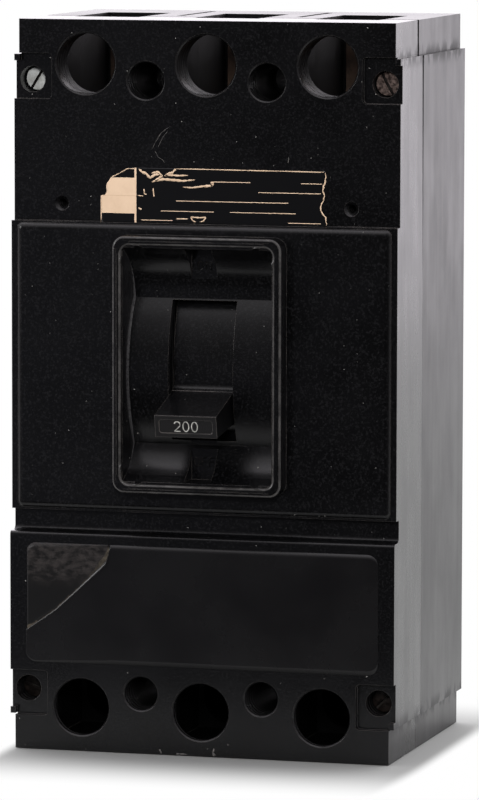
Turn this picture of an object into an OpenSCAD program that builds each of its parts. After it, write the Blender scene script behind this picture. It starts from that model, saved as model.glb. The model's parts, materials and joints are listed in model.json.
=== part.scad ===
// Three-pole moulded-case circuit interrupter, standing on its load end.
// X runs across the poles, Z runs up from the load end to the line end, and the front looks along -Y.
// Inside the modules, depth is measured along Y from the plain upper face: positive towards the back.

/* [Case] */
// Width across the flanks
case_w = 139.7; // [137:0.1:150]
// Height from the load end to the line end
case_h = 257.2; // [250:0.1:270]
// Depth from the plain upper face to the back
case_d = 93.5; // [88:0.1:105]
// Inset of the stepped ends from the flanks
end_step = 1.8; // [1:0.1:3]
// Length of each stepped end
end_len = 12.35; // [8:0.05:13]
// Depth of the seam between the cover and the base
seam_d = 32.5; // [30:0.1:36]
// Width of the seam's gap at the line end
seam_top = 2.2; // [0.8:0.1:2.6]
// Height at which the seam's gap begins to widen
seam_from = 165; // [150:1:200]
// Width of the seam's gap below that height
seam_low = 0.15; // [0.1:0.05:0.7]
// Depth of the seam's gap
seam_groove = 1.6; // [0.5:0.1:2]

/* [Load end face] */
// Height of the raised load end face
load_top = 77.2; // [74:0.1:80]
// How far the load end face stands proud of the upper face
load_proud = 5.9; // [4:0.1:8]
// Front wall of the load end's chambers
load_wall = 3; // [2:0.1:5]
// Radius of the face's upper edge
load_edge_r = 1.2; // [0.6:0.1:2]
// Fillet between the face and the band above it
band_fillet = 1.8; // [1:0.1:2.5]

/* [Deck] */
// Height of the ledge's lower edge
ledge_low = 85; // [83:0.1:88]
// Height of the ledge's upper edge
ledge_high = 186.7; // [185:0.1:188]
// How far the ledge stands proud of the upper face
ledge_proud = 3.5; // [2:0.1:4]
// How far the deck stands proud of the upper face
deck_proud = 4.8; // [4.5:0.1:5.5]
// Inset of the deck from the flanks
deck_side = 1.9; // [1:0.1:4]
// Inset of the deck from the ledge's upper and lower edges
deck_end = 0.4; // [0.2:0.1:1.5]
// Radius of the deck's rounded edge
deck_r = 2.35; // [2:0.05:3]

/* [Handle well] */
// Height of the well's centre
well_z = 137.7; // [136:0.1:139]
// Width of the rim
rim_w = 61.2; // [58:0.1:66]
// Height of the rim
rim_h = 90; // [88:0.1:94]
// Thickness of the rim around the well
rim_t = 3.3; // [2.5:0.1:4]
// How far the rim stands proud of the upper face
rim_proud = 12.1; // [10:0.1:15]
// Corner radius of the rim
rim_r = 4.4; // [4:0.1:6]
// Radius of the rim's edges
rim_edge_r = 1.1; // [0.6:0.1:1.3]
// Draft of the well's side walls
well_draft = 1.4; // [0.5:0.1:2]
// Corner radius of the well inside the rim
well_r = 3; // [2:0.1:3.5]
// How far the well's floor stands proud of the upper face
floor_proud = 0.4; // [0.2:0.1:0.6]
// Radius of the sweep from the floor up to the well's ends
sweep_r = 16; // [14:0.5:18]
// Slope of the well's ends where they meet the rim
lip_angle = 57; // [50:1:62]
// Width of the marker notch at each end of the well
notch_w = 9.4; // [7:0.1:11]
// How far the notches' floor stands proud of the upper face
notch_proud = 1; // [0.8:0.1:1.6]

/* [Handle] */
// Height of the handle's pivot
pivot_z = 134.6; // [134:0.1:136]
// Depth of the handle's pivot
pivot_d = 51.5; // [51:0.1:52]
// Radius of the pivot pin
pivot_r = 3; // [2:0.1:4]
// Radius of the arched cheeks about the pivot
cheek_r = 58; // [57.5:0.1:58.5]
// Thickness of the arched cheeks
cheek_t = 3; // [2:0.1:3.5]
// Width of the slot in the cheeks
slot_w = 23.4; // [22.8:0.1:24.5]
// Length of the slot in the cheeks
slot_len = 49; // [48:0.1:49.5]
// Height of the slot's centre above the pivot
slot_rise = 0.8; // [0.4:0.1:1]
// Angle of the handle below the horizontal when it is off
off_angle = 12.3; // [10:0.1:14]
// Angle that the handle turns through from off to on
throw_angle = 28; // [24:0.5:30]
// Width of the handle
lever_w = 22.2; // [20:0.1:22.5]
// Distance of the handle's tip from the pivot
lever_reach = 77.8; // [74:0.05:82]
// Thickness of the handle at its root
lever_root = 11.4; // [9:0.1:12]
// Thickness of the handle at its tip
lever_tip = 7.8; // [7:0.1:9]
// Gap between the cheeks and the barrel that closes the slot
barrel_gap = 1.6; // [1:0.1:2.5]
// Wall of the barrel
barrel_t = 3; // [2:0.1:4]
// Margin around the sunk panel on the handle's tip
panel_margin = 1.5; // [1:0.1:2]
// Depth of the sunk panel
panel_d = 0.35; // [0.2:0.05:0.6]

/* [Poles] */
// Distance between the poles
pole_pitch = 43.8; // [43:0.1:46]
// Distance of the terminals from each end
terminal_end = 15.45; // [15:0.05:17]
// Radius of the line end's tool holes
line_hole_r = 10.6; // [10:0.1:11.5]
// Radius of the load end's tool holes
load_hole_r = 10; // [9:0.1:11]
// Thickness of the line end cover at its tool holes
hole_wall = 13; // [10:0.5:15]
// Chamfer at the mouth of each hole
mouth = 0.5; // [0.3:0.1:1]
// Width of the terminal chambers
chamber_w = 23.6; // [23:0.1:26]
// Length of the terminal chambers
chamber_len = 48; // [44:0.5:52]
// Depth of the chambers' floor
chamber_d = 66; // [62:0.5:70]
// Depth at which the wire windows begin
window_d = 25; // [20:0.5:28]
// Thickness of the end wall in front of the wire windows
end_wall = 4; // [3:0.1:6]
// Thickness of the shields in front of the load terminals
shield_t = 4; // [2:0.1:5]
// Radius at the foot of the shields' tool slots
shield_r = 9.8; // [9:0.1:10.3]

/* [Mounting] */
// Distance of the mounting holes from each end
mount_end = 21.1; // [20:0.1:23]
// Radius of the line end's mounting wells
mount_line_r = 6.5; // [6:0.1:7]
// Radius of the load end's mounting wells
mount_load_r = 5.9; // [5.7:0.1:6.5]
// Radius of the mounting wells inside the base
mount_base_r = 5.6; // [5:0.1:6]
// Radius of the mounting holes
mount_r = 3.6; // [2.8:0.1:4.5]
// Thickness of the base at the mounting holes
mount_wall = 14; // [8:0.5:20]
// Width of the barrier slots between the poles
barrier_w = 2.5; // [1.5:0.1:3.5]
// Length of the barrier slots
barrier_len = 11; // [6:0.5:12]
// Distance of the barrier slots from the seam
barrier_front = 10; // [6:0.5:14]
// Distance of the barrier slots from the back
barrier_back = 8; // [5:0.5:12]

/* [Cover screws] */
// Distance of the cover screws from the flanks
screw_side = 6; // [5.8:0.05:6.4]
// Distance of the cover screws from each end
screw_end = 21.2; // [20:0.1:22]
// Radius of the screw wells
screw_well_r = 4.6; // [4.5:0.1:5]
// Radius of the screw heads
screw_head_r = 4.1; // [3.8:0.1:4.2]
// Height of the screw heads
screw_head_h = 2.8; // [2:0.1:3.5]
// Height of the tall screw head at the line end
tall_head_h = 5.5; // [4:0.1:7]
// Radius of the screws
screw_r = 2.1; // [1.5:0.1:2.5]
// Length of the screws in the base
screw_grip = 14; // [8:0.5:20]
// Depth of the line end's screw seats
line_seat_d = 10.6; // [9:0.1:13]
// Depth of the load end's screw seats
load_seat_d = 6.2; // [5.5:0.1:11]
// Depth of the corner pockets around the screws
pocket_d = 2.5; // [1:0.1:3]
// Width of the corner pockets
pocket_w = 13.7; // [12.5:0.1:15]
// Height of the corner pockets
pocket_h = 15.6; // [14:0.1:17]
// How far the pockets run past the flank's step
pocket_past = 0.4; // [0.2:0.1:1]
// Height of the nib left beside each pocket
nib_h = 2.3; // [1:0.1:3]
// Radius of the pockets' inner corners
pocket_r = 1.5; // [0.5:0.1:2]
// Width of the slots in the screw heads
driver_w = 1; // [0.8:0.1:1.6]
// Depth of the slots in the screw heads
driver_d = 1.3; // [1:0.1:1.6]

/* [Accessory holes] */
// Distance of the accessory holes from the flanks
access_side = 17.45; // [15:0.05:20]
// Height of the accessory holes above the ledge
access_z = 6.1; // [5:0.1:8]
// Radius of the accessory holes
access_r = 1.4; // [1:0.1:1.8]
// Radius of the accessory holes' countersinks
access_sink_r = 2.6; // [2.2:0.1:4]
// Depth of the accessory holes
access_d = 12; // [8:0.5:14]

/* [Terminals] */
// Width of the terminal straps
strap_w = 19; // [16:0.1:21]
// Thickness of the terminal straps
strap_t = 5; // [3:0.1:7]
// Length of the terminal straps
strap_len = 41; // [38:0.5:42]
// Distance of the straps from each end of the case
strap_end = 5; // [3:0.1:5.5]
// Radius of the straps' tapped holes
tap_r = 3.4; // [2.5:0.1:4]
// Distance from the tapped hole to the strap's fixing screw
fix_step = 20; // [18:0.5:22]
// Radius of the fixing screws
fix_r = 2.5; // [2:0.1:3]
// Radius of the fixing screws' heads
fix_head_r = 4.6; // [4:0.1:5]
// Height of the fixing screws' heads
fix_head_h = 3.2; // [2.5:0.1:4]
// Depth of the wells in the back for the fixing screws
fix_well = 12; // [6:0.5:16]
// Depth of the blind holes behind the straps' tapped holes
tap_relief = 10; // [6:0.5:14]

/* [Hidden] */
$fn = 64;
slip = 0.05;
loose = 0.3;
roomy = 0.6;
overlap = 2;
bite = 0.2;
end_w = case_w - 2 * end_step;
tip_reach = lever_reach * cos(off_angle) + lever_tip / 2 * sin(off_angle) - pivot_d;
face_y = (tip_reach - case_d) / 2;
access_x = case_w / 2 - access_side;
screw_x = case_w / 2 - screw_side;
top_screw_z = case_h - screw_end;
well_w = rim_w - 2 * rim_t;
well_h = rim_h - 2 * rim_t;
sweep_rise = rim_proud - floor_proud - sweep_r * (1 - cos(lip_angle));
sweep_z = well_h / 2 - sweep_rise / tan(lip_angle) - sweep_r * sin(lip_angle);
cavity_room = 10;
cavity_w = slot_w + 2;
cavity_r = cheek_r - cheek_t;
barrel_r = cavity_r - barrel_gap;
cavity_back = pivot_d + cavity_room;
barrel_lap = 8;
barrel_up = asin((slot_len / 2 + slot_rise) / barrel_r) + off_angle + barrel_lap;
barrel_down = asin((slot_len / 2 - slot_rise) / barrel_r) + throw_angle - off_angle + barrel_lap;
hub_r = pivot_r + 4;
hub_slip = 0.06;
web_t = 6;
root_fillet = 2.2;
root_bite = 1;
panel_r = 1;
pin_grip = 8;
poles = [-pole_pitch, 0, pole_pitch];
barriers = [-pole_pitch / 2, pole_pitch / 2];
line_z = case_h - terminal_end;
load_z = terminal_end;
fix_z = [case_h - terminal_end - fix_step, terminal_end + fix_step];
shadow = [0.09, 0.09, 0.1];
phenolic = [0.05, 0.05, 0.055];
handle_black = [0.06, 0.06, 0.065];
copper = [0.55, 0.33, 0.2];
zinc = [0.72, 0.73, 0.7];
rust = [0.34, 0.24, 0.17];
steel = [0.4, 0.38, 0.36];

// Moves a piece from depth coordinates to the part's frame
module seat() {
    translate([0, face_y, 0]) children();
}

// Box between two corners
module span(low, high) {
    translate(low) cube(high - low);
}

// Round bar or hole along the depth
module rod(x, z, r, from, to) {
    translate([x, from, z]) rotate([-90, 0, 0]) cylinder(r = r, h = to - from);
}

// Hole along the depth with a chamfer at its front mouth
module hole(x, z, r, from, to) {
    rod(x, z, r, from - overlap, to);
    translate([x, from, z]) rotate([-90, 0, 0]) cylinder(r1 = r + mouth, r2 = r, h = mouth);
    rod(x, z, r + mouth, from - overlap, from);
}

// Outline in X and Z, extruded along the depth
module plate(from, to) {
    translate([0, to, 0]) rotate([90, 0, 0]) linear_extrude(to - from) children();
}

// Outline in depth and Z, extruded across a width
module across(w) {
    translate([-w / 2, 0, 0]) rotate([90, 0, 90]) linear_extrude(w) children();
}

module round_rect(w, h, r) {
    square([w - 2 * r, h], center = true);
    square([w, h - 2 * r], center = true);
    for (x = [-1, 1], z = [-1, 1])
        translate([x * (w / 2 - r), z * (h / 2 - r)]) circle(r);
}

// Front outline of the case between two heights, with its stepped ends
module case_outline(low, high) {
    intersection() {
        union() {
            translate([-end_w / 2, 0]) square([end_w, case_h]);
            translate([-case_w / 2, end_len]) square([case_w, case_h - 2 * end_len]);
        }
        translate([-case_w / 2, low]) square([case_w, high - low]);
    }
}

// Gap along the seam on the cover's side, a hairline that widens towards the line end
module seam_cut() {
    difference() {
        across(2 * case_w) polygon([
            [seam_d - seam_low, -overlap], [seam_d + overlap, -overlap],
            [seam_d + overlap, case_h + overlap], [seam_d - seam_top, case_h + overlap],
            [seam_d - seam_low, seam_from]
        ]);
        plate(seam_d - seam_top - overlap, seam_d + 2 * overlap) offset_outline(seam_groove);
    }
}

// The case's outline drawn in by a margin
module offset_outline(m) {
    translate([-end_w / 2 + m, m]) square([end_w - 2 * m, case_h - 2 * m]);
    translate([-case_w / 2 + m, end_len + m]) square([case_w - 2 * m, case_h - 2 * end_len - 2 * m]);
}

// Bars and corner rings that follow a rounded rectangle, for rounding an edge
module edge_pipe(w, h, corner, r) {
    for (s = [-1, 1]) {
        translate([-(w / 2 - corner), 0, s * h / 2]) rotate([0, 90, 0]) cylinder(r = r, h = w - 2 * corner);
        translate([s * w / 2, 0, -(h / 2 - corner)]) cylinder(r = r, h = h - 2 * corner);
    }
    for (x = [-1, 1], z = [-1, 1])
        translate([x * (w / 2 - corner), 0, z * (h / 2 - corner)]) rotate([90, 0, 0])
            rotate_extrude() translate([corner, 0]) circle(r);
}

// Slab with a quarter-round edge and ball corners, its face at the given depth
module soft_slab(w, h, r, face, back) {
    plate(face + r, back) round_rect(w, h, r);
    plate(face, back) square([w - 2 * r, h - 2 * r], center = true);
    translate([0, face + r, 0]) {
        for (s = [-1, 1]) {
            translate([-(w / 2 - r), 0, s * (h / 2 - r)]) rotate([0, 90, 0]) cylinder(r = r, h = w - 2 * r);
            translate([s * (w / 2 - r), 0, -(h / 2 - r)]) cylinder(r = r, h = h - 2 * r);
        }
        for (x = [-1, 1], z = [-1, 1]) translate([x * (w / 2 - r), 0, z * (h / 2 - r)]) sphere(r);
    }
}

// Raised deck around the handle well
module deck() {
    plate(-ledge_proud, overlap) case_outline(ledge_low, ledge_high);
    translate([0, 0, (ledge_low + ledge_high) / 2])
        soft_slab(case_w - 2 * deck_side, ledge_high - ledge_low - 2 * deck_end, deck_r, -deck_proud, overlap);
}

// Upstanding rim with rounded outer edge
module rim() {
    translate([0, 0, well_z]) {
        plate(-rim_proud + rim_edge_r, overlap) round_rect(rim_w, rim_h, rim_r);
        plate(-rim_proud, overlap)
            round_rect(rim_w - 2 * rim_edge_r, rim_h - 2 * rim_edge_r, rim_r - rim_edge_r);
        translate([0, -rim_proud + rim_edge_r, 0])
            edge_pipe(rim_w - 2 * rim_edge_r, rim_h - 2 * rim_edge_r, rim_r - rim_edge_r, rim_edge_r);
    }
}

// Lengthwise section of the well: arched floor, and ends that sweep up to the rim
module well_section() {
    top = well_h / 2;
    lip_p = rim_proud - sweep_rise;
    lip_z = top - sweep_rise / tan(lip_angle);
    mirror([1, 0]) difference() {
        intersection() {
            union() {
                polygon([
                    [floor_proud, -sweep_z], [lip_p, -lip_z], [rim_proud, -top], [rim_proud + overlap, -top],
                    [rim_proud + overlap, top], [rim_proud, top], [lip_p, lip_z], [floor_proud, sweep_z]
                ]);
                for (s = [-1, 1]) translate([floor_proud + sweep_r, s * sweep_z]) circle(sweep_r);
            }
            translate([0, -top]) square([rim_proud + overlap, 2 * top]);
        }
        translate([-pivot_d, pivot_z - well_z]) circle(cheek_r);
    }
}

// Hollow of the handle well: its section, its drafted sides and its rounded corners
module well() {
    half = well_w / 2;
    translate([0, 0, well_z]) {
        intersection() {
            across(well_w + overlap) well_section();
            translate([0, 0, -well_h]) linear_extrude(2 * well_h) polygon([
                [-half, -rim_proud - overlap], [half, -rim_proud - overlap],
                [half - well_draft, -floor_proud + overlap], [-half + well_draft, -floor_proud + overlap]
            ]);
            plate(-rim_proud - overlap, overlap) round_rect(well_w, well_h, well_r);
        }
        difference() {
            plate(-rim_proud - overlap, -rim_proud + rim_edge_r)
                round_rect(well_w + 2 * rim_edge_r, well_h + 2 * rim_edge_r, well_r + rim_edge_r);
            translate([0, -rim_proud + rim_edge_r, 0])
                edge_pipe(well_w + 2 * rim_edge_r, well_h + 2 * rim_edge_r,
                          well_r + rim_edge_r, rim_edge_r);
        }
    }
}

// Flat-floored marker notches in the sloping ends of the well
module marker_notches() {
    for (s = [-1, 1]) {
        reach = [sweep_z, well_h / 2 - rim_edge_r];
        z = [well_z + s * reach[0], well_z + s * reach[1]];
        span([-notch_w / 2, -rim_proud + rim_edge_r, min(z)], [notch_w / 2, -notch_proud, max(z)]);
    }
}

// Drum-shaped space behind the cheeks in which the handle turns
module handle_cavity() {
    intersection() {
        translate([-cavity_w / 2, pivot_d, pivot_z]) rotate([0, 90, 0]) cylinder(r = cavity_r, h = cavity_w);
        span([-cavity_w, -rim_proud, 0], [cavity_w, cavity_back, case_h]);
    }
    slot_z = pivot_z + slot_rise;
    span([-slot_w / 2, -rim_proud, slot_z - slot_len / 2], [slot_w / 2, pivot_d, slot_z + slot_len / 2]);
}

// Corner pocket around a cover screw, with round inner corners and the nib that it leaves on the flank
module corner_pocket(side, face, z_end, z_step) {
    x = [side * (case_w / 2 - pocket_w), side * end_w / 2, side * (case_w / 2 + overlap)];
    z = [z_end - z_step * pocket_past, z_end + z_step * pocket_h];
    zn = [z_end + z_step * nib_h, z[1]];
    w = pocket_w + overlap;
    intersection() {
        translate([x[0] + side * w / 2, 0, (z[0] + z[1]) / 2])
            plate(face - overlap, face + pocket_d) round_rect(w, abs(z[1] - z[0]), pocket_r);
        span([min(x[0], x[1]), face - 2 * overlap, min(z)], [max(x[0], x[1]), face + 2 * pocket_d, max(z)]);
    }
    span([min(x[1], x[2]), face - overlap, min(zn)], [max(x[1], x[2]), face + pocket_d, max(zn)]);
}

// Stepped hole for a cover screw
module screw_hole(x, z, face, seat_d) {
    rod(x, z, screw_well_r, face - overlap, seat_d);
    rod(x, z, screw_r + loose, face, seam_d + overlap);
}

// Side section of the load end's raised face, with its round upper edge and the fillet above it
module load_section() {
    r = load_edge_r;
    translate([-load_proud, 0]) square([load_proud + overlap, load_top - r]);
    translate([-load_proud + r, 0]) square([load_proud + overlap - r, load_top]);
    translate([-load_proud + r, load_top - r]) circle(r);
    translate([-band_fillet, load_top - bite]) difference() {
        square([band_fillet + overlap, band_fillet + bite]);
        translate([0, band_fillet + bite]) circle(band_fillet);
    }
}

// Raised face of the load end
module load_face() {
    intersection() {
        across(case_w) load_section();
        plate(-load_proud - overlap, seam_d) case_outline(0, ledge_low);
    }
}

// Tool holes and terminal chambers of the line end, on the cover's side of the seam
module line_chambers() {
    for (x = poles) {
        hole(x, line_z, line_hole_r, 0, hole_wall + overlap);
        span([x - chamber_w / 2, hole_wall, case_h - chamber_len],
             [x + chamber_w / 2, seam_d + overlap, case_h - end_wall]);
        span([x - chamber_w / 2, window_d, case_h - chamber_len],
             [x + chamber_w / 2, seam_d + overlap, case_h + overlap]);
    }
}

// Tool holes and terminal chambers of the load end, on the cover's side of the seam
module load_chambers() {
    for (x = poles) {
        hole(x, load_z, load_hole_r, -load_proud, load_wall);
        span([x - chamber_w / 2, load_wall - load_proud, end_wall],
             [x + chamber_w / 2, seam_d + overlap, chamber_len]);
    }
}

// Countersunk accessory holes above the deck
module accessory_holes() {
    for (s = [-1, 1])
        translate([s * access_x, 0, ledge_high + access_z]) rotate([-90, 0, 0]) {
            cylinder(r1 = access_sink_r, r2 = access_r, h = access_sink_r - access_r);
            cylinder(r = access_r, h = access_d);
        }
}

module cover() {
    color(phenolic) seat() difference() {
        union() {
            plate(0, seam_d) case_outline(0, case_h);
            deck();
            rim();
            load_face();
        }
        well();
        marker_notches();
        handle_cavity();
        line_chambers();
        load_chambers();
        accessory_holes();
        for (x = barriers) {
            hole(x, case_h - mount_end, mount_line_r, 0, seam_d + overlap);
            hole(x, mount_end, mount_load_r, -load_proud, seam_d + overlap);
        }
        for (s = [-1, 1]) {
            corner_pocket(s, 0, case_h - end_len, -1);
            corner_pocket(s, -load_proud, end_len, 1);
            screw_hole(s * screw_x, case_h - screw_end, 0, line_seat_d);
            screw_hole(s * screw_x, screw_end, -load_proud, load_seat_d);
        }
        seam_cut();
    }
}

// Everything cut into the base moulding and its end walls
module base_cuts() {
    for (x = poles) {
        for (z = [[-overlap, chamber_len], [case_h - chamber_len, case_h + overlap]])
            span([x - chamber_w / 2, seam_d - overlap, z[0]], [x + chamber_w / 2, chamber_d, z[1]]);
        for (z = [line_z, load_z]) rod(x, z, tap_r + roomy, chamber_d - overlap, chamber_d + tap_relief);
        for (z = fix_z) {
            rod(x, z, fix_r + loose, chamber_d - overlap, case_d);
            rod(x, z, fix_head_r + roomy, case_d - fix_well, case_d + overlap);
        }
    }
    for (x = barriers) {
        for (z = [mount_end, case_h - mount_end]) {
            rod(x, z, mount_base_r, seam_d - overlap, case_d - mount_wall);
            rod(x, z, mount_r, seam_d, case_d + overlap);
        }
        for (z = [[-overlap, barrier_len], [case_h - barrier_len, case_h + overlap]])
            span([x - barrier_w / 2, seam_d + barrier_front, z[0]],
                 [x + barrier_w / 2, case_d - barrier_back, z[1]]);
    }
    for (x = [-screw_x, screw_x], z = [screw_end, case_h - screw_end])
        rod(x, z, screw_r + slip, seam_d - overlap, seam_d + screw_grip + 1);
    handle_cavity();
    translate([-cavity_w / 2 - pin_grip, pivot_d, pivot_z]) rotate([0, 90, 0])
        cylinder(r = pivot_r + slip, h = cavity_w + 2 * pin_grip);
}

// Base moulding: the back plate and the solid middle
module base() {
    color(shadow) seat() difference() {
        union() {
            plate(chamber_d, case_d) case_outline(0, case_h);
            plate(seam_d, case_d) case_outline(chamber_len, case_h - chamber_len);
        }
        base_cuts();
    }
}

// Flank walls and partitions between the poles at one end of the base
module end_walls(low, high) {
    color(shadow) seat() difference() {
        plate(seam_d, chamber_d) case_outline(low, high);
        base_cuts();
    }
}

// Shield in front of a load terminal, with a tool slot that is open upwards. It ends short of the cover screws.
module load_shield(x) {
    color(shadow) seat() difference() {
        half = chamber_w / 2 - slip;
        span([x - half, seam_d, 0], [x + half, seam_d + shield_t, chamber_len]);
        rod(x, load_z, shield_r, seam_d - overlap, seam_d + shield_t + overlap);
        span([x - shield_r, seam_d - overlap, load_z],
             [x + shield_r, seam_d + shield_t + overlap, chamber_len + overlap]);
        for (s = [-1, 1]) {
            past = [s * (screw_x - screw_r - loose), s * case_w / 2];
            span([min(past), seam_d - overlap, -overlap],
                 [max(past), seam_d + shield_t + overlap, chamber_len + overlap]);
        }
    }
}

// Section of the handle in its own axes: forward from the pivot, and up
module lever_section() {
    root = barrel_r - root_bite;
    polygon([
        [root, -lever_root / 2], [lever_reach, -lever_tip / 2],
        [lever_reach, lever_tip / 2], [root, lever_root / 2]
    ]);
    fillet_top = lever_root / 2 + root_fillet;
    start = sqrt(barrel_r * barrel_r - fillet_top * fillet_top) - root_bite;
    for (s = [-1, 1]) scale([1, s]) translate([start, lever_root / 2 - loose]) difference() {
        square([root_fillet + root_bite, root_fillet + loose]);
        translate([root_fillet + root_bite, root_fillet + loose]) circle(root_fillet);
    }
}

// Moulded handle: barrel, web, hub and lever, hanging at its off angle
module toggle_handle() {
    color(handle_black) seat() translate([0, pivot_d, pivot_z]) rotate([off_angle, 0, 0]) difference() {
        union() {
            rotate([0, -90, 0]) rotate([0, 0, -90 - barrel_down])
                rotate_extrude(angle = barrel_up + barrel_down)
                    translate([barrel_r - barrel_t, -lever_w / 2]) square([barrel_t, lever_w]);
            rotate([0, -90, 0]) rotate([0, 0, -90 - barrel_down / 2]) rotate_extrude(angle = barrel_down)
                translate([hub_r - root_bite, -web_t / 2]) square([barrel_r - hub_r - root_bite, web_t]);
            translate([-lever_w / 2, 0, 0]) rotate([0, 90, 0]) cylinder(r = hub_r, h = lever_w);
            across(lever_w) mirror([1, 0]) lever_section();
        }
        translate([-lever_w, 0, 0]) rotate([0, 90, 0]) cylinder(r = pivot_r + hub_slip, h = 2 * lever_w);
        plate(-lever_reach - overlap, -lever_reach + panel_d)
            round_rect(lever_w - 2 * panel_margin, lever_tip - 2 * panel_margin, panel_r);
    }
}

module pivot_pin() {
    color(steel) seat() translate([-cavity_w / 2 - pin_grip + slip, pivot_d, pivot_z]) rotate([0, 90, 0])
        cylinder(r = pivot_r, h = cavity_w + 2 * pin_grip - 2 * slip);
}

// Copper strap on a chamber's floor; dir points from the case's end into the case
module terminal(x, z_end, dir) {
    color(copper) seat() difference() {
        z = [z_end + dir * strap_end, z_end + dir * (strap_end + strap_len)];
        span([x - strap_w / 2, chamber_d - strap_t, min(z)], [x + strap_w / 2, chamber_d, max(z)]);
        rod(x, z_end + dir * terminal_end, tap_r, chamber_d - strap_t - overlap, chamber_d + overlap);
        rod(x, z_end + dir * (terminal_end + fix_step), fix_r + slip,
            chamber_d - strap_t - overlap, chamber_d + overlap);
    }
}

// Screw that holds a strap, entered from the back
module fixing_screw(x, z) {
    seated = case_d - fix_well;
    color(steel) seat() difference() {
        union() {
            rod(x, z, fix_r, chamber_d - strap_t, seated + fix_head_h);
            rod(x, z, fix_head_r, seated, seated + fix_head_h);
        }
        span([x - fix_head_r, seated + fix_head_h - driver_d, z - driver_w / 2],
             [x + fix_head_r, case_d, z + driver_w / 2]);
    }
}

// Slotted cover screw, its slot turned by an angle
module cover_screw(side, z, seat_d, head_h, turn, finish) {
    head = seat_d - head_h;
    color(finish) seat() difference() {
        union() {
            rod(side * screw_x, z, screw_head_r, head, seat_d);
            rod(side * screw_x, z, screw_r, head, seam_d + screw_grip);
        }
        translate([side * screw_x, head, z]) rotate([0, turn, 0])
            span([-screw_head_r - 1, -overlap, -driver_w / 2], [screw_head_r + 1, driver_d, driver_w / 2]);
    }
}

base();
end_walls(case_h - chamber_len, case_h);  // line_end_walls
end_walls(0, chamber_len);  // load_end_walls
load_shield(poles[0]);  // load_shield_left
load_shield(poles[1]);  // load_shield_centre
load_shield(poles[2]);  // load_shield_right
cover();
toggle_handle();
pivot_pin();
terminal(poles[0], case_h, -1);  // line_terminal_left
terminal(poles[1], case_h, -1);  // line_terminal_centre
terminal(poles[2], case_h, -1);  // line_terminal_right
terminal(poles[0], 0, 1);  // load_terminal_left
terminal(poles[1], 0, 1);  // load_terminal_centre
terminal(poles[2], 0, 1);  // load_terminal_right
fixing_screw(poles[0], fix_z[0]);  // line_fixing_screw_left
fixing_screw(poles[1], fix_z[0]);  // line_fixing_screw_centre
fixing_screw(poles[2], fix_z[0]);  // line_fixing_screw_right
fixing_screw(poles[0], fix_z[1]);  // load_fixing_screw_left
fixing_screw(poles[1], fix_z[1]);  // load_fixing_screw_centre
fixing_screw(poles[2], fix_z[1]);  // load_fixing_screw_right
cover_screw(-1, top_screw_z, line_seat_d, screw_head_h, -58, zinc);  // cover_screw_top_left
cover_screw(1, top_screw_z, line_seat_d, tall_head_h, 62, rust);  // cover_screw_top_right
cover_screw(-1, screw_end, load_seat_d, screw_head_h, 20, rust);  // cover_screw_bottom_left
cover_screw(1, screw_end, load_seat_d, screw_head_h, -45, rust);  // cover_screw_bottom_right
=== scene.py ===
# %% [markdown]
# # Dressing a moulded case circuit breaker
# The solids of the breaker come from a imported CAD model. This lesson gives them their finish: black
# phenolic that has been handled for decades, a torn paper label, a satin plate left bare, slotted screws,
# and the pale studio that the breaker stands in. Everything is in metres, in the frame of the CAD model.

# %% Load the frame
import json
from math import cos, radians, sin

import bmesh
import bpy
import numpy as np
from mathutils import Matrix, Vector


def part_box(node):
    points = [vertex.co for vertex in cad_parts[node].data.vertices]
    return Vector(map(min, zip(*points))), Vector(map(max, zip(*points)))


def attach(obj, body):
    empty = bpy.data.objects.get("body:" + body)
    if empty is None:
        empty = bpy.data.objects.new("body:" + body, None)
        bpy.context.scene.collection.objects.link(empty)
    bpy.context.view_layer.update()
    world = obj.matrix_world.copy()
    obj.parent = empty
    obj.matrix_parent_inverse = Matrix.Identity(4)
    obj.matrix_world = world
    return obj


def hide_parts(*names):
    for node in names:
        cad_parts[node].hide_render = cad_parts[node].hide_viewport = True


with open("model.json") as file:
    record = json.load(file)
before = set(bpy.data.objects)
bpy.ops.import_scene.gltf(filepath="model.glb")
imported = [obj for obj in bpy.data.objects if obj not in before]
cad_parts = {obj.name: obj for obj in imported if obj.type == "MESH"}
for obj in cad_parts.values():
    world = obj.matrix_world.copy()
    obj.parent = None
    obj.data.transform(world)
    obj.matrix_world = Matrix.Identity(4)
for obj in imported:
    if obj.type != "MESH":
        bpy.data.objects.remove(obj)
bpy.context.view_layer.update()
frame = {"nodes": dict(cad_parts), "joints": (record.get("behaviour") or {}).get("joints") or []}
MM = 0.001
nodes = frame["nodes"]
print("nodes loaded:", len(nodes))

# %% [markdown]
# ## Places on the front
# The rim around the handle is the most forward face of the cover. All places on the front are measured
# from the plain upper face, which lies a rim's height behind it: x across, a height above that face, and
# z up.

# %% Places on the front
RIM_PROUD = 12.1 * MM
LOAD_PROUD = 5.9 * MM
cover_low, cover_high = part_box("cover")
FACE_Y = cover_low.y + RIM_PROUD


def on_front(x, proud, z):
    """Points of the frame from x, height above the plain face and z, all in millimetres."""
    x, proud, z = np.broadcast_arrays(x, proud, z)
    return np.stack([x * MM, FACE_Y - proud * MM, z * MM], axis=-1)


print("plain face at y =", round(FACE_Y, 5))

# %% [markdown]
# ## The camera
# A long lens from two metres away keeps the case almost free of perspective. It looks from the right and
# from a little above, so the right flank shows as a narrow grey strip.

# %% Camera
CAMERA_PLACE = (0.56053, -1.96864, 0.33526)
CAMERA_TURN = 15.82
CAMERA_TILT = 84.04
CAMERA_ROLL = 0.10
SENSOR = 36.0
FOCAL_PIXELS = 5799.0
IMAGE_HEIGHT = 800.0

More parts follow.
